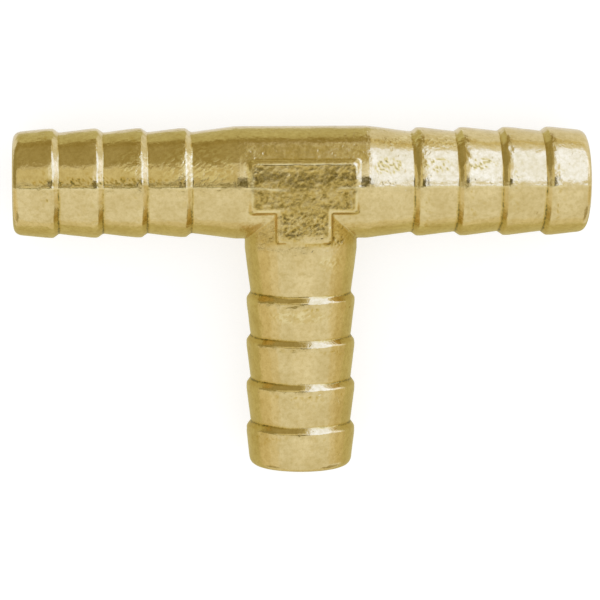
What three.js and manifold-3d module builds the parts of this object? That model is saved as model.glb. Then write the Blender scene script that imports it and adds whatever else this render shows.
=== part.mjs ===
// Barbed tee connector: a brass tee body with three identical barbed hose stems seated in it.
// Millimetres. The run lies along X, the branch points along -Y, and the tee rests on its back pad at Z = 0.
import * as THREE from "three";
import { mergeVertices } from "three/addons/utils/BufferGeometryUtils.js";
import Module from "manifold-3d";

// Body: two crossing cylinders with a raised T-shaped pad on each broad side.
const BODY_RADIUS = 5.65;
const BODY_REACH = 6.625; // axis crossing to each stem's shoulder
const BORE_RADIUS = 3.25;
const AXIS_HEIGHT = 5.7; // resting plane to the run axis, which is also the pad's height

const PAD_HALF_WIDTH = 5.35;
const PAD_HALF_BAR = 2.55;
const PAD_HALF_STEM = 2.75;
const PAD_STEM_END = 5.6; // run axis to the foot of the T
const PAD_CORNER = 0.5;
const PAD_DRAFT = 0.25; // sideways slope of the pad's wall
const PAD_WALL = 0.9;
const PAD_ROOT = 4.2; // the pad's underside, inside the body's wall

// Joint: each stem's spigot slips into a counterbore of the body.
const SOCKET_RADIUS = 4.15;
const SPIGOT_RADIUS = 4.1;
const SOCKET_DEPTH = 2.0;
const SPIGOT_DEPTH = 1.75;

// Stems: a taper, then four barbs whose steep sides face the body.
const ARM_LENGTH = 28.85; // axis crossing to end face
const ROOT_RADIUS = 5.07;
const CREST_RADIUS = 5.475;
const TAPER_END = 11.1;
const FIRST_CREST = 11.9; // axis crossing to the middle of the first crest
const BARB_PITCH = 4.4;
const BARB_COUNT = 4;
const SHOULDER_RUN = 0.55; // axial length of a steep side
const CREST_LAND = 0.55; // axial length of a crest
const NOSE_RADIUS = 5.1; // stem radius where the end rounding starts
const NOSE_ROUND = 0.9;
const NOSE_STEPS = 4;
const MOUTH_CHAMFER = 0.3;

const ROUND_SEGMENTS = 48;
const CORNER_SEGMENTS = 3;

const wasm = await Module();
wasm.setup();

// A three.js geometry as a solid that can be joined and cut.
function solidOf(geometry) {
  const bare = geometry.clone();
  bare.deleteAttribute("normal");
  bare.deleteAttribute("uv");
  const merged = mergeVertices(bare, 1e-4);
  const triVerts = new Uint32Array(merged.index.array);
  const vertProperties = merged.attributes.position.array;
  return new wasm.Manifold(new wasm.Mesh({ numProp: 3, vertProperties, triVerts }));
}

function geometryOf(solid) {
  const { vertProperties, triVerts } = solid.getMesh();
  const geometry = new THREE.BufferGeometry();
  geometry.setAttribute("position", new THREE.BufferAttribute(vertProperties, 3));
  geometry.setIndex(new THREE.BufferAttribute(triVerts, 1));
  return geometry;
}

// Turns a lathed profile of [radius, distance] pairs so that distance runs along +X from the origin.
function turnedAlongX(profile) {
  const points = profile.map(([radius, distance]) => new THREE.Vector2(radius, distance));
  return new THREE.LatheGeometry(points, ROUND_SEGMENTS).rotateZ(-Math.PI / 2);
}

function rodAlongX(radius, from, to) {
  return turnedAlongX([[0, from], [radius, from], [radius, to], [0, to]]);
}

// The three arms: angle about Z from +X.
const ARMS = [
  { name: "run_stem_left", turn: Math.PI },
  { name: "run_stem_right", turn: 0 },
  { name: "branch_stem", turn: -Math.PI / 2 },
];

// The T outline of a pad, shrunk by the given margin on every side.
function padOutline(margin) {
  const wide = PAD_HALF_WIDTH - margin;
  const top = PAD_HALF_BAR - margin;
  const narrow = PAD_HALF_STEM - margin;
  const foot = margin - PAD_STEM_END;
  const corners = [
    [wide, top], [-wide, top], [-wide, -top], [-narrow, -top],
    [-narrow, foot], [narrow, foot], [narrow, -top], [wide, -top],
  ].map(([x, y]) => new THREE.Vector2(x, y));
  return roundedLoop(corners, PAD_CORNER);
}

// A closed shape with every corner rounded off to the given radius.
function roundedLoop(corners, radius) {
  const shape = new THREE.Shape();
  corners.forEach((corner, i) => {
    const before = corners.at(i - 1).clone().sub(corner).setLength(radius).add(corner);
    const after = corners[(i + 1) % corners.length].clone().sub(corner).setLength(radius).add(corner);
    if (i === 0) shape.moveTo(before.x, before.y);
    else shape.lineTo(before.x, before.y);
    shape.quadraticCurveTo(corner.x, corner.y, after.x, after.y);
  });
  shape.closePath();
  return shape;
}

// A pad grown from inside the body up to its flat top, with its wall sloping outwards below the top.
function padSolid() {
  const geometry = new THREE.ExtrudeGeometry(padOutline(PAD_DRAFT), {
    depth: AXIS_HEIGHT - PAD_WALL - PAD_ROOT,
    bevelEnabled: true,
    bevelThickness: PAD_WALL,
    bevelSize: PAD_DRAFT,
    bevelOffset: 0,
    bevelSegments: 1,
    curveSegments: CORNER_SEGMENTS,
  });
  return solidOf(geometry.translate(0, 0, PAD_ROOT));
}

function bodySolid() {
  const run = solidOf(rodAlongX(BODY_RADIUS, -BODY_REACH, BODY_REACH));
  const branch = solidOf(rodAlongX(BODY_RADIUS, 0, BODY_REACH).rotateZ(-Math.PI / 2));
  const front = padSolid();
  const back = front.mirror([0, 0, 1]);
  const past = BODY_REACH + 1;
  let body = run.add(branch).add(front).add(back);
  body = body.subtract(solidOf(rodAlongX(BORE_RADIUS, -past, past)));
  body = body.subtract(solidOf(rodAlongX(BORE_RADIUS, 0, past).rotateZ(-Math.PI / 2)));
  for (const { turn } of ARMS) {
    const socket = rodAlongX(SOCKET_RADIUS, BODY_REACH - SOCKET_DEPTH, past).rotateZ(turn);
    body = body.subtract(solidOf(socket));
  }
  return body;
}

// The barbed outside of a stem, from the body's face out to the start of the end rounding.
function barbProfile() {
  const profile = [[BODY_RADIUS, BODY_REACH], [ROOT_RADIUS, TAPER_END]];
  for (let barb = 0; barb < BARB_COUNT; barb += 1) {
    const crest = FIRST_CREST + barb * BARB_PITCH;
    if (barb > 0) profile.push([ROOT_RADIUS, crest - SHOULDER_RUN - CREST_LAND / 2]);
    profile.push([CREST_RADIUS, crest - CREST_LAND / 2], [CREST_RADIUS, crest + CREST_LAND / 2]);
  }
  return profile;
}

// The rounded outer edge of the open end.
function noseProfile() {
  const profile = [];
  for (let step = 0; step <= NOSE_STEPS; step += 1) {
    const angle = (step / NOSE_STEPS) * (Math.PI / 2);
    const inward = NOSE_ROUND * (1 - Math.cos(angle));
    const along = ARM_LENGTH - NOSE_ROUND * (1 - Math.sin(angle));
    profile.push([NOSE_RADIUS - inward, along]);
  }
  return profile;
}

function stemGeometry() {
  const heel = BODY_REACH - SPIGOT_DEPTH;
  return turnedAlongX([
    [BORE_RADIUS, heel],
    [SPIGOT_RADIUS, heel],
    [SPIGOT_RADIUS, BODY_REACH],
    ...barbProfile(),
    ...noseProfile(),
    [BORE_RADIUS + MOUTH_CHAMFER, ARM_LENGTH],
    [BORE_RADIUS, ARM_LENGTH - MOUTH_CHAMFER],
    [BORE_RADIUS, heel],
  ]);
}

function brassMesh(name, geometry, color, roughness) {
  const material = new THREE.MeshStandardMaterial({ color, roughness, metalness: 1 });
  const mesh = new THREE.Mesh(geometry, material);
  mesh.name = name;
  return mesh;
}

const tee = new THREE.Group();
tee.add(brassMesh("tee_body", geometryOf(bodySolid()), 0xb0a274, 0.42));
for (const { name, turn } of ARMS) {
  tee.add(brassMesh(name, stemGeometry().rotateZ(turn), 0xb8aa7c, 0.32));
}
tee.position.z = AXIS_HEIGHT;

export default tee;
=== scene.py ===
"""A brass barbed hose tee: a cast body with a raised T-shaped pad, and three alike barbed stems.

The tee's lengths are in millimetres until a mesh is made, and the studio's are in metres. The axes are
the CAD frame's: the run lies along X, the branch points along -Y, and the tee rests on its back pad at
Z = 0. Numbers without a unit that weigh grime and painted shade, wear and painted glints, polish and
painted highlights, and colour run from 0 to 1.
"""
import math

import bpy
import numpy as np
from mathutils import Matrix, Vector, noise


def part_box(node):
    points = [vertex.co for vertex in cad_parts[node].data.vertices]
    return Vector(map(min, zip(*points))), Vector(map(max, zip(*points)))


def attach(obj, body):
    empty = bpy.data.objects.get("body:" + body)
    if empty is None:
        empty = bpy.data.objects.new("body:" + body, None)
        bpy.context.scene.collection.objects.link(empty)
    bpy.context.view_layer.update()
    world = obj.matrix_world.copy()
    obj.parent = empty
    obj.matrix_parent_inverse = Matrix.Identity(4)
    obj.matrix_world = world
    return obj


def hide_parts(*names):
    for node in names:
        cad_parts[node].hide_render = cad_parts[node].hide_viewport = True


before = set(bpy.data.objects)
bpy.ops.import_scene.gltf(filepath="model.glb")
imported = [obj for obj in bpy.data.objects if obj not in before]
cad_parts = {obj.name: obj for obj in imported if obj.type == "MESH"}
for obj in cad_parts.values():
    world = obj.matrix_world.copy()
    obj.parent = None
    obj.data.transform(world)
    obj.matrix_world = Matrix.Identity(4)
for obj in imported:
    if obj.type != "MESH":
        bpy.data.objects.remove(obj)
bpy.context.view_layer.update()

MM = 0.001

# ---------------------------------------------------------------- sizes taken from the frame
body_low, body_high = (np.array(corner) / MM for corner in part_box("tee_body"))
stem_high = np.array(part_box("run_stem_right")[1]) / MM
AXIS_HEIGHT = (body_low[2] + body_high[2]) / 2
PAD_TOP = body_high[2] - AXIS_HEIGHT  # pad plane to the run axis
BODY_RADIUS = body_high[1]
BODY_REACH = body_high[0]
ARM_LENGTH = stem_high[0]

# ---------------------------------------------------------------- sizes of the features
BORE_RADIUS = 3.25
SOCKET_RADIUS, SPIGOT_RADIUS = 4.15, 4.10
SOCKET_DEPTH, SPIGOT_DEPTH = 2.0, 1.75

ROOT_RADIUS, CREST_RADIUS = 5.07, 5.475
TAPER_END, FIRST_CREST = 11.1, 11.9
BARB_PITCH, BARB_COUNT = 4.4, 4
SHOULDER_RUN, CREST_LAND = 0.55, 0.55
NOSE_RADIUS, NOSE_ROUND = 5.1, 0.9
MOUTH_CHAMFER = 0.3

PAD_HALF_WIDTH, PAD_HALF_BAR = 5.35, 2.55
PAD_HALF_STEM, PAD_STEM_END = 2.72, 5.55
PAD_CORNER, PAD_FOOT_CORNER = 0.7, 0.2  # radius of the pad's corners at its top and at its foot
PAD_DRAFT, PAD_EDGE = 0.15, 0.42  # slope of the pad's sides, and the rounding of its top edge
PAD_FOOT_BLEND, CORNER_BLEND, CROTCH_BLEND = 0.28, 0.15, 0.06  # widths of the fillets in the casting

# The stem's thin lip over the rim of the body: its length, thickness and height above the body.
LIP_LENGTH, LIP_THICKNESS, LIP_RISE = 0.35, 0.3, 0.002

# How far each corner of a stem's outline is cut back to round it.
JOINT_CUT, TAPER_CUT, ROOT_CUT = 0.3, 0.2, 0.09
CREST_FRONT_CUT, CREST_BACK_CUT = 0.15, 0.2
MOUTH_CUT, HEEL_CUT = 0.12, 0.1

OUTLINE_SPACING, STEM_SEGMENTS = 0.17, 216  # points along a stem's outline and round it
BODY_STEP = 0.12  # grid step of the body's mesh
SHARP_ANGLE = math.radians(60)

# Heights and depths of the marks on a stem.
RIPPLE, FINE_RIPPLE, FLASH_HEIGHT = 0.02, 0.01, 0.03
SPECK_DEPTH, NICK_DEPTH, CREST_KNOCK = 0.014, 0.03, 0.07

# Heights and depths of the marks on the body.
GRAIN_HEIGHT, FINE_GRAIN_HEIGHT, SWELL_HEIGHT = 0.018, 0.012, 0.03
PAD_DISH, RIDGE_HEIGHT, PARTING_HEIGHT = 0.04, 0.045, 0.045

# Patches on the front and the back of the body: centre and half size, as (x, y).
COARSE_PATCH, COARSE_CORNER = ((0.0, -3.9), (2.6, 1.6)), ((3.0, -5.6), (1.4, 0.9))
SMOOTH_PATCH = ((-3.0, 1.1), (1.7, 1.2))
FADED_PATCH = ((1.1, -5.4), (1.7, 0.7))
SCUFFED_PATCH = ((-6.0, 2.4), (2.4, 2.2))

# Scuffed and pitted places on the front and the back of each stem: centre and half size, as (x, y).
STEM_SCUFFS = {
    "run_stem_left": [((-10.5, 2.2), (4.5, 2.2)), ((-16.8, 2.4), (1.9, 1.4))],
    "run_stem_right": [((12.4, 4.3), (5.5, 0.7))],
    "branch_stem": [((2.7, -7.5), (1.5, 1.0)), ((-0.5, -13.0), (3.2, 0.8))],
}
STEM_PITTING = {
    "run_stem_left": [((-20.0, 0.6), (8.0, 0.6))],
    "run_stem_right": [((8.3, 2.1), (1.7, 0.9)), ((13.2, 2.1), (1.7, 0.8)), ((17.6, 2.2), (1.8, 0.6))],
    "branch_stem": [],
}

# The turn of each stem about Z, and how strongly the parting line shows on it.
STEMS = {
    "run_stem_left": (math.pi, 1.0),
    "run_stem_right": (0.0, 0.8),
    "branch_stem": (-math.pi / 2, 0.15),
}

CAMERA_PLACE = (-20.7, 30.8, 300.0 + AXIS_HEIGHT)
CAMERA_AIM = (-0.06, -12.0, AXIS_HEIGHT)
CAMERA_ROLL = 0.0017  # radians
LENS_MM, SENSOR_MM = 180.0, 36.0


# ---------------------------------------------------------------- meshes
def mesh_object(name, vertices, faces, layers, node):
    """A smooth-shaded piece that stands for a CAD node. vertices are in millimetres, layers from 0 to 1."""
    mesh = bpy.data.meshes.new(name)
    mesh.from_pydata((np.asarray(vertices) * MM).tolist(), [], np.asarray(faces).tolist())
    mesh.shade_smooth()
    mesh.set_sharp_from_angle(angle=SHARP_ANGLE)
    for layer, values in layers.items():
        attribute = mesh.attributes.new(layer, "FLOAT", "POINT")
        attribute.data.foreach_set("value", np.clip(values, 0, 1).astype(np.float32))
    mesh.update()
    piece = bpy.data.objects.new(name, mesh)
    bpy.context.scene.collection.objects.link(piece)
    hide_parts(node)
    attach(piece, "root")
    return piece


def smooth_step(low, high, value):
    t = np.clip((value - low) / (high - low), 0.0, 1.0)
    return t * t * (3 - 2 * t)


def bell(value, width):
    """1 where the value is 0, falling smoothly to both sides."""
    return np.exp(-((value / width) ** 2))


def spot(x, y, centre, half_size):
    """A soft-edged oval patch, 1 in its middle and 0 outside."""
    reach = np.hypot((x - centre[0]) / half_size[0], (y - centre[1]) / half_size[1])
    return smooth_step(1.15, 0.6, reach)


def grain(points, size, seed):
    """Smooth noise from -1 to 1 at each point, with features about size millimetres across."""
    offset = Vector((17.3 * seed, -9.1 * seed, 5.7 * seed))
    return np.array([noise.noise(Vector(p) / size + offset) for p in points])


# ---------------------------------------------------------------- stems
def rounded_profile(corners, spacing):
    """Points along a path of (distance, radius, cut) corners, each rounded over cut to either side."""
    corners = [(np.array(corner[:2]), corner[2]) for corner in corners]
    path = []
    for i, (corner, cut) in enumerate(corners):
        before = corners[i - 1][0] - corner
        after = corners[(i + 1) % len(corners)][0] - corner
        if cut == 0:
            path.append(corner)
            continue
        start = corner + before / np.linalg.norm(before) * cut
        end = corner + after / np.linalg.norm(after) * cut
        for t in np.linspace(0, 1, max(4, round(cut / spacing * 3)) + 1):
            path.append((1 - t) ** 2 * start + 2 * t * (1 - t) * corner + t * t * end)
    points = []
    for a, b in zip(path, path[1:] + path[:1]):
        count = max(1, round(np.linalg.norm(b - a) / spacing))
        points += [a + (b - a) * k / count for k in range(count)]
    return np.array(points)


def stem_profile():
    """A stem's closed outline as (distance along the axis, radius)."""
    heel = BODY_REACH - SPIGOT_DEPTH
    lip_radius = BODY_RADIUS + LIP_RISE
    corners = [
        (BODY_REACH - LIP_LENGTH, lip_radius, 0),
        (BODY_REACH, lip_radius, JOINT_CUT),
        (TAPER_END, ROOT_RADIUS, TAPER_CUT),
    ]
    for barb in range(BARB_COUNT):
        crest = FIRST_CREST + barb * BARB_PITCH
        if barb:
            corners.append((crest - CREST_LAND / 2 - SHOULDER_RUN, ROOT_RADIUS, ROOT_CUT))
        corners.append((crest - CREST_LAND / 2, CREST_RADIUS, CREST_FRONT_CUT))
        corners.append((crest + CREST_LAND / 2, CREST_RADIUS, CREST_BACK_CUT))
    corners += [
        (ARM_LENGTH, NOSE_RADIUS, NOSE_ROUND),
        (ARM_LENGTH, BORE_RADIUS + MOUTH_CHAMFER, MOUTH_CUT),
        (ARM_LENGTH - MOUTH_CHAMFER, BORE_RADIUS, MOUTH_CUT),
        (heel, BORE_RADIUS, HEEL_CUT),
        (heel, SPIGOT_RADIUS, HEEL_CUT),
        (BODY_REACH, SPIGOT_RADIUS, 0),
        (BODY_REACH, BODY_RADIUS - LIP_THICKNESS, 0),
    ]
    return rounded_profile(corners, OUTLINE_SPACING)


def turned_points(profile):
    """The distance along the axis, the radius and the angle of each point of an outline turned round."""
    distance, radius = (np.repeat(values, STEM_SEGMENTS) for values in profile.T)
    turn = np.arange(STEM_SEGMENTS) * 2 * math.pi / STEM_SEGMENTS
    return distance, radius, np.tile(turn, len(profile))


def barb_zones(distance):
    """Weights of four bands of every barb: behind its crest, its root, its steep side and its crest."""
    behind, root, steep, crest = (np.zeros(len(distance)) for _ in range(4))
    for barb in range(BARB_COUNT):
        past_crest = distance - (FIRST_CREST + barb * BARB_PITCH + CREST_LAND / 2)
        past_root = past_crest + CREST_LAND + SHOULDER_RUN
        behind += np.exp(-np.maximum(past_crest, 0) / 0.45) * (past_crest > -0.1) * (past_crest < 2.5)
        root += bell(past_root, 0.1)
        steep += np.exp(-(((past_root - 0.2) / 0.28) ** 4))
        crest += bell(past_crest + CREST_LAND / 2, 0.35)
    return behind, root, steep, crest


def stem_marks(distance, radius, angle, flash_strength, skin):
    """Weights of the marks on a stem. skin gives noise of a size in millimetres, with its own seed."""
    behind, root, steep, crest = barb_zones(distance)
    patches = smooth_step(-0.15, 0.45, skin(2.8, 9))
    # The parting line of the mould runs along the front and the back of each arm.
    from_line = np.abs(np.abs(angle - math.pi) - math.pi / 2) * radius
    return {
        "root": root,
        "steep": steep,
        "crest": crest,
        "speck": smooth_step(0.1, 0.5, skin(0.3, 5)) * patches * (0.1 + behind),
        "nick": smooth_step(0.15, 0.5, skin(0.7, 6)) * crest,
        "flash": bell(from_line, 0.09) * (np.clip(0.6 + skin(1.7, 2), 0, 1) * flash_strength),
    }


def stem_layers(name, x, y, marks, skin):
    """How grimy, how worn and how polished each point of a stem is, with painted shade in the grime,
    painted glints in the wear and painted highlights in the polish.
    """
    scuffed = sum(spot(x, y, *patch) for patch in STEM_SCUFFS[name])
    pitted = sum(spot(x, y, *patch) for patch in STEM_PITTING[name])
    pitted *= smooth_step(0.05, 0.3, skin(0.25, 10))
    # Painted shade in the barb roots and on their steep sides, heavier at the flanks of the branch and low
    # on the arms.
    shaded_side = np.abs(x) - 1.8 if name == "branch_stem" else -y
    root_shade = marks["root"] * (0.3 + 0.5 * smooth_step(-0.6, 0.6, shaded_side)) * (0.9 + 0.7 * skin(0.8, 7))
    root_shade += 0.4 * marks["steep"] * smooth_step(0.5, 3.5, shaded_side)
    worn = smooth_step(0.0, 0.4, skin(2.4, 4))
    # A painted highlight on parts of the crests, as rubbed metal.
    rubbed_crest_sheen = 0.25 * marks["crest"] * smooth_step(-0.1, 0.4, skin(0.9, 8))
    return {
        "grime_and_shade": 0.7 * marks["speck"] + root_shade + 0.2 * marks["nick"] + 0.15 * scuffed + 0.85 * pitted,
        "wear_and_glint": scuffed + 0.1 * worn,
        # The parting line and the crests are painted brighter: rubbed metal and painted highlights.
        "polish_and_highlight": 0.8 * marks["flash"] + rubbed_crest_sheen,
    }


def stem_vertices(profile, name, seed):
    """The outline turned round the axis, worn and swung to its arm, with its vertex layers."""
    turn, flash_strength = STEMS[name]
    distance, radius, angle = turned_points(profile)
    unit = np.stack([distance, radius * np.cos(angle), radius * np.sin(angle)], 1)
    outside = (radius > SPIGOT_RADIUS + 0.3) & (distance < ARM_LENGTH - 0.02)
    clear = smooth_step(BODY_REACH, BODY_REACH + 0.8, distance) * outside

    def skin(size, shift):
        values = np.zeros(len(unit))
        values[outside] = grain(unit[outside], size, seed + shift)
        return values

    marks = stem_marks(distance, radius, angle, flash_strength, skin)
    ripple = RIPPLE * skin(3.2, 0) + FINE_RIPPLE * skin(0.95, 1)
    sunk = SPECK_DEPTH * marks["speck"] + NICK_DEPTH * marks["nick"]
    bulge = (ripple + FLASH_HEIGHT * marks["flash"] - sunk) * clear
    # Crests are knocked a little along the axis.
    tail = smooth_step(ARM_LENGTH - 1.2, ARM_LENGTH - 0.2, distance)
    along = distance + CREST_KNOCK * skin(1.9, 3) * clear * (1 - tail)
    across = (radius + bulge) * np.cos(angle)
    x = along * math.cos(turn) - across * math.sin(turn)
    y = along * math.sin(turn) + across * math.cos(turn)
    z = (radius + bulge) * np.sin(angle) + AXIS_HEIGHT
    layers = stem_layers(name, x, y, marks, skin)
    return np.stack([x, y, z], 1), {layer: values * clear for layer, values in layers.items()}


def ring_faces(rows, around):
    """Quads of a closed outline turned round an axis, facing out."""
    row, column = np.meshgrid(np.arange(rows), np.arange(around), indexing="ij")
    next_row, next_column = (row + 1) % rows, (column + 1) % around
    quads = [row * around + column, row * around + next_column]
    quads += [next_row * around + next_column, next_row * around + column]
    return np.stack(quads, -1).reshape(-1, 4)


def make_stem(name, seed):
    profile = stem_profile()
    vertices, layers = stem_vertices(profile, name, seed)
    faces = ring_faces(len(profile), STEM_SEGMENTS)
    return mesh_object(name + "_piece", vertices, faces, layers, name)


# ---------------------------------------------------------------- body
def soft_min(a, b, width):
    """The smaller of two distances, blended where they are within width of each other."""
    mix = np.clip(0.5 + 0.5 * (b - a) / width, 0, 1)
    return b + (a - b) * mix - width * mix * (1 - mix)


def soft_max(a, b, width):
    return -soft_min(-a, -b, width)


def box_distance(x, y, half_x, half_y, corner):
    """Distance to a rectangle with rounded corners, centred on the origin."""
    over_x, over_y = np.abs(x) - half_x + corner, np.abs(y) - half_y + corner
    outside = np.hypot(np.maximum(over_x, 0), np.maximum(over_y, 0))
    return outside + np.minimum(np.maximum(over_x, over_y), 0) - corner


def pad_distance(x, y, z):
    """Distance to the T-shaped pads, whose corners and edges are rounder towards the top."""
    below = PAD_TOP - np.abs(z)
    corner = np.clip(PAD_CORNER - below, PAD_FOOT_CORNER, PAD_CORNER)
    bar = box_distance(x, y, PAD_HALF_WIDTH, PAD_HALF_BAR, corner)
    foot = box_distance(x, y + PAD_STEM_END / 2, PAD_HALF_STEM, PAD_STEM_END / 2, corner)
    outline = soft_min(bar, foot, CORNER_BLEND)
    return soft_max(outline - PAD_DRAFT * below, -below, PAD_EDGE)


def body_distance(x, y, z):
    """Distance to the body's surface, below zero inside its metal."""
    run = np.hypot(y, z)
    branch = np.hypot(x, z)
    outside = soft_min(run - BODY_RADIUS, np.maximum(branch - BODY_RADIUS, y), CROTCH_BLEND)
    solid = soft_min(outside, pad_distance(x, y, z), PAD_FOOT_BLEND)
    solid = np.maximum(solid, np.maximum(np.abs(x), -y) - BODY_REACH)
    bores = np.minimum(run, np.maximum(branch, y)) - BORE_RADIUS
    floor_of_sockets = BODY_REACH - SOCKET_DEPTH
    run_socket = np.maximum(run - SOCKET_RADIUS, floor_of_sockets - np.abs(x))
    branch_socket = np.maximum(branch - SOCKET_RADIUS, floor_of_sockets + y)
    hollow = np.minimum(bores, np.minimum(run_socket, branch_socket))
    return np.maximum(solid, -hollow)


def surface_net(field, low, high, step):
    """Quads around a field's zero surface, with one vertex in each cell that the surface crosses."""
    axes = [np.arange(a, b + step, step) for a, b in zip(low, high)]
    x, y, z = np.meshgrid(*axes, indexing="ij")
    inside = field(x, y, z) < 0
    cells = tuple(n - 1 for n in inside.shape)
    corner_count = np.zeros(cells, int)
    for shift in np.ndindex(2, 2, 2):
        corner_count += inside[tuple(slice(s, s + n) for s, n in zip(shift, cells))]
    crossed = (corner_count > 0) & (corner_count < 8)
    index = np.full(cells, -1)
    index[crossed] = np.arange(crossed.sum())
    vertices = (np.argwhere(crossed) + 0.5) * step + low
    quads = []
    for axis in range(3):
        across, up = (axis + 1) % 3, (axis + 2) % 3
        begin = np.take(inside, range(inside.shape[axis] - 1), axis)
        end = np.take(inside, range(1, inside.shape[axis]), axis)
        for leaving in (True, False):
            edge = np.argwhere(begin & ~end if leaving else ~begin & end)
            ring = []
            for back_across, back_up in ((1, 1), (0, 1), (0, 0), (1, 0)):
                cell = edge.copy()
                cell[:, across] -= back_across
                cell[:, up] -= back_up
                ring.append(index[tuple(cell.T)])
            quads.append(np.stack(ring if leaving else ring[::-1], 1))
    return vertices, np.concatenate(quads)


def field_normal(field, points, reach=0.01):
    """The field's unit gradient at each point."""
    steps = reach * np.eye(3)
    slope = np.stack([field(*(points + s).T) - field(*(points - s).T) for s in steps], 1)
    return slope / np.linalg.norm(slope, axis=1, keepdims=True)


def settle(field, points, step):
    """Moves each point onto the zero surface, in steps of at most half a cell."""
    for _ in range(5):
        drop = np.clip(field(*points.T), -step / 2, step / 2)[:, None]
        points = points - drop * field_normal(field, points)
    return points


def body_noise(points, outer):
    """Noises on the body's outside: coarse grain, fine grain, a slow swell and crooked ridges."""
    noises = []
    for size, seed in ((0.5, 11), (0.27, 12), (1.7, 13), (0.41, 14)):
        values = np.zeros(len(points))
        values[outer] = grain(points[outer], size, seed)
        noises.append(values)
    coarse, fine, swell, worm = noises
    return coarse, fine, swell, 1 - 3.2 * np.abs(worm)


def body_zones(x, y, broad):
    """Weights of places on the body's front and back. broad is 1 where the skin faces along Z."""
    bar = box_distance(x, y, PAD_HALF_WIDTH, PAD_HALF_BAR, PAD_CORNER)
    stem = box_distance(x, y + PAD_STEM_END / 2, PAD_HALF_STEM, PAD_STEM_END / 2, PAD_CORNER)
    outline = np.minimum(bar, stem)
    clean = 1 - spot(x, y, *FADED_PATCH)
    granular = np.maximum(spot(x, y, *COARSE_PATCH), spot(x, y, *COARSE_CORNER)) * broad * clean
    run_line = smooth_step(-1.6, -2.2, x) + smooth_step(3.2, 3.6, x)
    slanted_y = y + 0.07 * (x + 5.5) * (x < 0)
    return {
        "plate": smooth_step(-0.1, -0.45, outline) * broad * clean,
        "granular": granular,
        "parting": bell(slanted_y, 0.1) * run_line * broad,
        "groove": bell(outline - 0.2, 0.09) * broad * (1 - granular),
        "edge": bell(outline + 0.2, 0.14) * broad * smooth_step(-5.0, -3.8, y),
        "flank": smooth_step(0.0, 0.12, -y - np.abs(x)) * smooth_step(-0.05, 0.1, outline),
    }


def cast_skin(points, normals):
    """How far each point of the body stands out, with its vertex layers."""
    x, y, z = points.T
    outer = np.hypot(y, z) > BODY_RADIUS - 1.4
    broad = smooth_step(0.35, 0.8, np.abs(normals[:, 2]))
    coarse, fine, swell, ridges = body_noise(points, outer)
    zones = body_zones(x, y, broad)
    plate, granular, parting = zones["plate"], zones["granular"], zones["parting"]
    smooth_patch = spot(x, y, *SMOOTH_PATCH)

    rough = GRAIN_HEIGHT * coarse + FINE_GRAIN_HEIGHT * fine + SWELL_HEIGHT * swell
    height = plate * (1 - 0.8 * smooth_patch) * rough
    height -= PAD_DISH * plate * smooth_step(-2.6, 0.5, y)
    height += RIDGE_HEIGHT * granular * (ridges - 0.3)
    height += (1 - plate) * (0.01 * swell + 0.003 * coarse)
    height += PARTING_HEIGHT * parting

    ends = smooth_step(3.3, 5.0, np.abs(x + 0.3)) * plate
    grime_and_shade = plate * (0.42 - 0.32 * coarse - 0.35 * fine - 0.05 * smooth_patch)
    # The coarse patch is darker in the valleys between its ridges, and the parting line is painted lighter,
    # a painted highlight.
    grime_and_shade += (0.15 - 0.4 * coarse) * ends + granular * (0.32 - 0.5 * ridges) - 0.6 * parting
    # Painted shade in the groove round the foot of the pad, on its upper side only.
    grime_and_shade += 0.6 * zones["groove"] * smooth_step(1.5, 2.5, y)
    grime_and_shade += 0.15 * (1 - plate) * smooth_step(0.1, 0.5, fine)
    # Painted shade on the branch's flanks beside the pad's stem, darker to the right.
    grime_and_shade += zones["flank"] * np.where(x > 0, 0.4, 0.14) * (1 + 0.6 * swell)
    scuffed = spot(x, y, *SCUFFED_PATCH) * broad
    layers = {
        "grime_and_shade": grime_and_shade,
        "wear_and_glint": np.maximum(np.maximum(0.1 * plate, 0.4 * granular), scuffed),
        # Painted highlights on the parting line and along the pad's top edge, as rubbed metal.
        "polish_and_highlight": 0.6 * parting + 0.6 * zones["edge"] * smooth_step(-0.4, 0.2, swell),
    }
    rim = smooth_step(BODY_REACH - 0.4, BODY_REACH - 1.0, np.maximum(np.abs(x), -y)) * outer
    return height * rim, {layer: values * rim for layer, values in layers.items()}


def make_body():
    low = np.array([-BODY_REACH, -BODY_REACH, -PAD_TOP]) - 2.5 * BODY_STEP
    high = np.array([BODY_REACH, BODY_RADIUS, PAD_TOP]) + 2.5 * BODY_STEP
    vertices, quads = surface_net(body_distance, low, high, BODY_STEP)
    vertices = settle(body_distance, vertices, BODY_STEP)
    normals = field_normal(body_distance, vertices)
    height, layers = cast_skin(vertices, normals)
    vertices = vertices + normals * height[:, None]
    vertices[:, 2] = np.clip(vertices[:, 2], -PAD_TOP, PAD_TOP) + AXIS_HEIGHT
    return mesh_object("tee_body_piece", vertices, quads, layers, "tee_body")


# ---------------------------------------------------------------- brass
DULL_BRASS = (0.71, 0.56, 0.25)
OLIVE_BRASS = (0.5112, 0.3696, 0.105)
OLD_GOLD = (0.62, 0.45, 0.125)
# Bright brass for rubbed metal, and for painted glints and painted highlights.
RUBBED_HIGHLIGHT_BRASS = (0.91, 0.79, 0.43)
WAVE_DEPTH, GRAIN_DEPTH, SCRATCH_DEPTH, PIT_DEPTH = 0.05, 0.01, 0.004, 0.01  # mm


def add_node(tree, kind, inputs=None, **settings):
    node = tree.nodes.new(kind)
    for key, value in settings.items():
        setattr(node, key, value)
    for key, value in (inputs or {}).items():
        if isinstance(value, bpy.types.NodeSocket):
            tree.links.new(value, node.inputs[key])
        else:
            node.inputs[key].default_value = value
    return node


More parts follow.
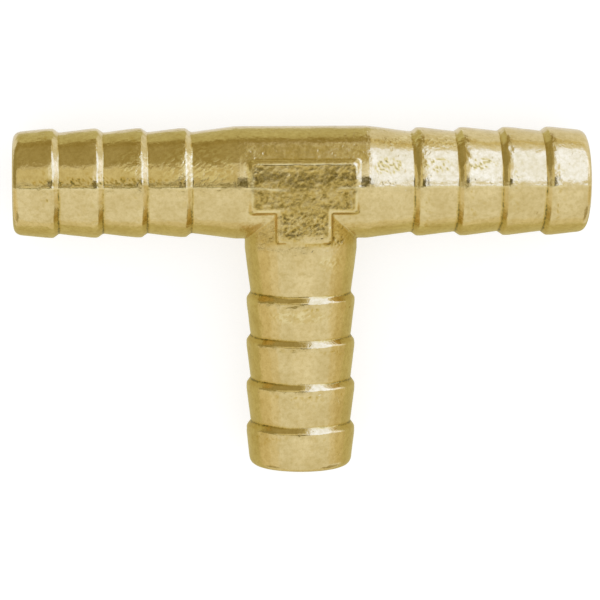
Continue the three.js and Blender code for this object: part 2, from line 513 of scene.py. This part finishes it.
def add_noise(tree, place, size_mm, detail=2.0, roughness=0.5):
    """Noise with features of a given size, from the object's own coordinates."""
    inputs = {"Vector": place, "Scale": 1 / (size_mm * MM), "Detail": detail, "Roughness": roughness}
    return add_node(tree, "ShaderNodeTexNoise", inputs).outputs["Fac"]


def add_range(tree, value, low, high, to_low, to_high):
    inputs = {"Value": value, "From Min": low, "From Max": high, "To Min": to_low, "To Max": to_high}
    return add_node(tree, "ShaderNodeMapRange", inputs).outputs["Result"]


def add_bump(tree, height, depth_mm, after=None):
    inputs = {"Height": height, "Strength": 1.0, "Distance": depth_mm * MM}
    if after is not None:
        inputs["Normal"] = after
    return add_node(tree, "ShaderNodeBump", inputs).outputs["Normal"]


def multiply(tree, first, second):
    return add_node(tree, "ShaderNodeMath", {0: first, 1: second}, operation="MULTIPLY").outputs["Value"]


def mix_color(tree, factor, first, second):
    """Blends two colours; each is a socket or three numbers."""
    mix = add_node(tree, "ShaderNodeMix", {"Factor": factor}, data_type="RGBA")
    for key, value in (("A", first), ("B", second)):
        socket = next(i for i in mix.inputs if i.name == key and i.type == "RGBA")
        if isinstance(value, bpy.types.NodeSocket):
            tree.links.new(value, socket)
        else:
            socket.default_value = (*value, 1)
    return next(o for o in mix.outputs if o.type == "RGBA")


def brass_color(tree, place, layers, worms, bright, tarnish_and_shade):
    """Two tones in soft clouds and fine mottling, then grime and painted shade that darken it, and rubbed
    metal with painted glints and painted highlights.
    """
    clouds = add_noise(tree, place, 2.4, 4.0, 0.6)
    color = mix_color(tree, add_range(tree, clouds, 0.35, 0.65, 0, 1), bright, DULL_BRASS)
    mottle = add_noise(tree, place, 0.45, 3.0, 0.65)
    color = mix_color(tree, add_range(tree, mottle, 0.42, 0.75, 0, 0.5), color, OLIVE_BRASS)
    crumbs = add_range(tree, add_noise(tree, place, 0.24, 2.0), 0.35, 0.65, 0.65, 1.35)
    dirt_and_shade = multiply(tree, layers["grime_and_shade"], crumbs)
    color = mix_color(tree, add_range(tree, dirt_and_shade, 0, 0.5, 0, 1), color, OLD_GOLD)
    color = mix_color(tree, add_range(tree, dirt_and_shade, 0.5, 1.1, 0, 1), color, tarnish_and_shade)
    # Painted glints: the scuffs are blended towards bright brass, and the polished lines after them.
    color = mix_color(tree, worms, color, RUBBED_HIGHLIGHT_BRASS)
    return mix_color(tree, layers["polish_and_highlight"], color, RUBBED_HIGHLIGHT_BRASS)


def brass_normal(tree, place, worms, scuff_depth):
    """Slow waves, a fine grain, crossing hairline scratches, scuffs and scattered pits."""
    crossed = {"Vector": place, "Rotation": (0.3, 0.2, 0.9), "Scale": (9, 1, 2)}
    cross = add_node(tree, "ShaderNodeMapping", crossed, vector_type="TEXTURE").outputs["Vector"]
    pits = add_range(tree, add_noise(tree, place, 0.6, 1.0), 0.66, 0.74, 1, 0)
    normal = add_bump(tree, add_noise(tree, place, 1.3, 2.0), WAVE_DEPTH)
    normal = add_bump(tree, add_noise(tree, place, 0.28, 3.0, 0.6), GRAIN_DEPTH, normal)
    normal = add_bump(tree, add_noise(tree, cross, 0.3, 2.0), SCRATCH_DEPTH, normal)
    normal = add_bump(tree, worms, scuff_depth, normal)
    return add_bump(tree, pits, PIT_DEPTH, normal)


def brass(name, bright, tarnish_and_shade, rough, scuff_depth):
    """Worn brass, from its lightest tone and the colour of its darkest grime and painted shade, highest
    roughness and scuff depth in mm.
    """
    material = bpy.data.materials.new(name)
    material.use_nodes = True
    tree = material.node_tree
    shader = tree.nodes["Principled BSDF"]
    shader.inputs["Metallic"].default_value = 1.0
    place = add_node(tree, "ShaderNodeTexCoord").outputs["Object"]
    layers = {
        layer: add_node(tree, "ShaderNodeAttribute", attribute_name=layer).outputs["Fac"]
        for layer in ("grime_and_shade", "wear_and_glint", "polish_and_highlight")
    }
    slanted = {"Vector": place, "Rotation": (0, 0, 0.7), "Scale": (1.7, 1, 1)}
    slant = add_node(tree, "ShaderNodeMapping", slanted, vector_type="TEXTURE").outputs["Vector"]
    worms = add_range(tree, add_noise(tree, slant, 0.36, 2.0), 0.45, 0.62, 0, 0.6)
    worms = multiply(tree, worms, layers["wear_and_glint"])

    color = brass_color(tree, place, layers, worms, bright, tarnish_and_shade)
    tree.links.new(color, shader.inputs["Base Color"])
    haze = add_range(tree, add_noise(tree, place, 1.1, 5.0, 0.65), 0.3, 0.7, 0.55 * rough, rough)
    dulled = add_range(tree, layers["grime_and_shade"], 0, 1, 0, 0.1)
    total = add_node(tree, "ShaderNodeMath", {0: haze, 1: dulled}, operation="ADD").outputs["Value"]
    tree.links.new(total, shader.inputs["Roughness"])
    tree.links.new(brass_normal(tree, place, worms, scuff_depth), shader.inputs["Normal"])
    return material


# ---------------------------------------------------------------- studio
def stage_card(name, corners, albedo, glow, seen_by_camera=False):
    """A flat glowing card of the studio, seen either by the camera or only in reflections. Metres."""
    mesh = bpy.data.meshes.new(name)
    mesh.from_pydata(corners, [], [(0, 1, 2, 3)])
    card = bpy.data.objects.new(name, mesh)
    bpy.context.scene.collection.objects.link(card)
    material = bpy.data.materials.new(name)
    material.use_nodes = True
    shader = material.node_tree.nodes["Principled BSDF"]
    shader.inputs["Base Color"].default_value = (albedo, albedo, albedo, 1)
    shader.inputs["Roughness"].default_value = 0.9
    shader.inputs["Specular IOR Level"].default_value = 0.0
    shader.inputs["Emission Color"].default_value = (*glow, 1)
    shader.inputs["Emission Strength"].default_value = 1.0
    mesh.materials.append(material)
    card.visible_camera = seen_by_camera
    card.visible_glossy = not seen_by_camera
    card.visible_diffuse = False
    card.visible_shadow = False


def level_card(name, x, y, height, glow):
    """A card parallel to the floor, between two x and two y values."""
    corners = [(x[0], y[0], height), (x[1], y[0], height), (x[1], y[1], height), (x[0], y[1], height)]
    stage_card(name, corners, 0.0, glow)


def upright_card(name, start, end, z, glow):
    """A vertical card over the floor line from start to end, between two heights."""
    corners = [(*start, z[0]), (*end, z[0]), (*end, z[1]), (*start, z[1])]
    stage_card(name, corners, 0.0, glow)


def make_softbox(name, size, radiance, color, place, target):
    """A rectangular light of a given brightness that faces a target. Metres."""
    light = bpy.data.lights.new(name, "AREA")
    light.shape = "RECTANGLE"
    light.size, light.size_y = size
    light.energy = radiance * math.pi * size[0] * size[1]
    light.color = color
    lamp = bpy.data.objects.new(name, light)
    away = (Vector(place) - Vector(target)).normalized()
    lamp.matrix_world = Matrix.Translation(place) @ away.to_track_quat("Z", "Y").to_matrix().to_4x4()
    lamp.visible_camera = False
    lamp.visible_diffuse = False
    bpy.context.scene.collection.objects.link(lamp)


def make_room():
    """An even white surround, the floor that the camera sees, and the cards below and above the tee."""
    world = bpy.data.worlds.new("studio")
    bpy.context.scene.world = world
    world.use_nodes = True
    background = world.node_tree.nodes["Background"]
    background.inputs["Color"].default_value = (0.85, 0.85, 0.85, 1)
    background.inputs["Strength"].default_value = 1.0
    half = 1.5
    floor = [(-half, -half, 0), (half, -half, 0), (half, half, 0), (-half, half, 0)]
    stage_card("floor", floor, 0.5, (0.68, 0.68, 0.68), seen_by_camera=True)
    level_card("table", (-0.0375, 0.0375), (-0.044, 0.004), 0.0, (0.6, 0.55, 0.3))
    level_card("far_table", (-0.065, 0.02), (0.038, 0.18), -0.05, (0.6, 0.57, 0.34))
    level_card("ceiling", (-0.6, -0.03), (0.035, 0.33), 0.4, (0.74, 0.69, 0.5))
    level_card("rail", (-0.6, 0.04), (-0.037, 0.02), 0.401, (0.31, 0.28, 0.13))
    level_card("lens", (-0.03, 0.075), (-0.006, 0.068), 0.3, (0.1, 0.08, 0.0))
    level_card("window", (-0.03, 0.08), (0.092, 0.25), 0.401, (0.96, 0.98, 1.1))
    level_card("skylight", (-0.13, 0.2), (-0.205, -0.12), 0.402, (0.91, 0.91, 0.93))


def make_walls():
    """Upright cards round the tee: a dim backdrop beyond the run, and light walls at the branch's side."""
    upright_card("backdrop", (-0.8, 0.5), (0.03, 0.5), (-0.02, 0.555), (0.43, 0.37, 0.19))
    upright_card("backdrop_edge", (0.03, 0.5), (0.11, 0.5), (0.03, 0.45), (0.6, 0.54, 0.3))
    upright_card("skirting", (-0.8, 0.5), (0.11, 0.5), (-0.3, -0.02), (0.36, 0.29, 0.11))
    upright_card("right_skirting", (0.11, 0.5), (0.4, 0.5), (-0.15, -0.02), (0.72, 0.65, 0.42))
    upright_card("left_flag", (-0.41, -0.29), (-0.25, -0.43), (-0.12, 0.12), (0.45, 0.4, 0.25))
    upright_card("right_flag", (0.25, -0.43), (0.41, -0.29), (-0.12, 0.12), (0.45, 0.4, 0.25))
    upright_card("front_low", (-0.5, -0.5), (0.5, -0.5), (-0.25, 0.03), (0.78, 0.73, 0.57))
    upright_card("left_wall", (-0.5, -0.05), (-0.5, 0.6), (-0.3, 0.3), (0.38, 0.33, 0.16))
    upright_card("right_low", (0.35, -0.2), (0.35, -0.02), (-0.2, 0.07), (0.68, 0.6, 0.38))
    upright_card("right_high", (0.35, -0.2), (0.35, -0.02), (0.07, 0.17), (0.79, 0.73, 0.58))
    upright_card("left_low", (-0.35, -0.42), (-0.35, -0.05), (-0.2, 0.1), (0.74, 0.66, 0.46))
    upright_card("left_high", (-0.35, -0.42), (-0.35, -0.05), (0.1, 0.26), (0.81, 0.76, 0.64))


def make_lamps():
    """A large soft lamp high over the right arm, and a smaller one beyond its end."""
    cool, mild = (0.21, 0.34, 1.0), (0.33, 0.42, 1.0)
    make_softbox("softbox", (0.52, 0.536), 1.7, cool, (0.34, 0.235, 0.24), (0.34, 0.036, -0.027))
    make_softbox("side_softbox", (0.3, 0.26), 1.0, mild, (0.56, 0.2, 0.08), (0.01, 0.0, 0.006))


# ---------------------------------------------------------------- camera
def make_camera():
    """Looks down on the front pad from a little to the left of the tee and beyond the run."""
    scene = bpy.context.scene
    camera = bpy.data.objects.new("camera", bpy.data.cameras.new("camera"))
    scene.collection.objects.link(camera)
    scene.camera = camera
    camera.data.sensor_width = SENSOR_MM
    camera.data.lens = LENS_MM
    camera.data.clip_start = 0.01
    place = Vector(CAMERA_PLACE) * MM
    aim = Vector(CAMERA_AIM) * MM
    back = (place - aim).normalized()
    right = Vector((0, 1, 0)).cross(back).normalized()
    turn = Matrix((right, back.cross(right), back)).transposed().to_4x4()
    camera.matrix_world = Matrix.Translation(place) @ turn @ Matrix.Rotation(CAMERA_ROLL, 4, "Z")


make_camera()
make_room()
make_walls()
make_lamps()
# Each brass's darkest colour serves both its grime and its painted shade.
cast = brass("cast_brass", (0.8, 0.65, 0.32), (0.27, 0.175, 0.022), 0.22, 0.012)
turned = brass("turned_brass", (0.81, 0.66, 0.33), (0.24, 0.19, 0.05), 0.21, 0.02)
make_body().data.materials.append(cast)
for order, name in enumerate(STEMS):
    make_stem(name, 11 * order + 1).data.materials.append(turned)
bpy.context.scene.view_settings.view_transform = "Standard"
